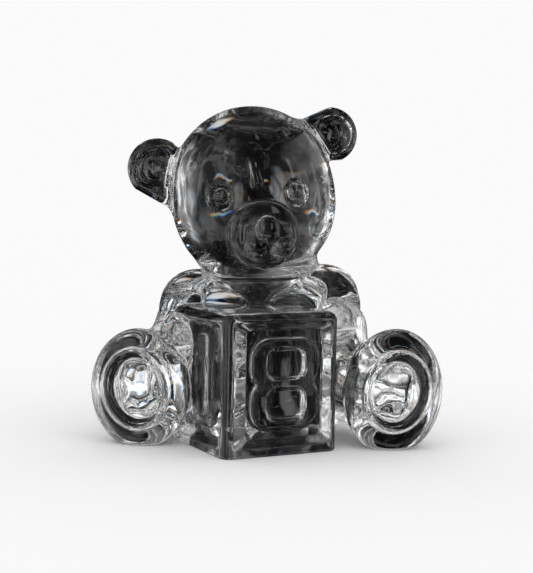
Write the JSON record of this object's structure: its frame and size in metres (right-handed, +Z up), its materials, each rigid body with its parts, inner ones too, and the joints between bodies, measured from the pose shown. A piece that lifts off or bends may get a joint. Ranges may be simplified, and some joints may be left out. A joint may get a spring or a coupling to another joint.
{
  "type": "crystal bear figurine",
  "caption": "Seated teddy bear of solid clear crystal, head tilted, holding a large toy counting block between its arms and feet.",
  "frame": {"origin": "on the plane the figurine rests on, under the middle of the bear's trunk", "axes": "+Z up, -Y is the way the bear faces, +X towards the bear's left"},
  "size_m": [0.0881, 0.0678, 0.0858],
  "materials": {
    "crystal": "polished"
  },
  "bodies": {
    "root": {"head": "crystal", "left_ear": "crystal", "right_ear": "crystal", "left_eye": "crystal", "right_eye": "crystal", "muzzle": "crystal", "nose": "crystal", "torso": "crystal", "left_arm": "crystal", "right_arm": "crystal", "left_leg": "crystal", "right_leg": "crystal", "left_foot": "crystal", "right_foot": "crystal", "toy_block": "crystal", "front_numeral": "crystal", "side_numeral": "crystal"}
  },
  "joints": []
}
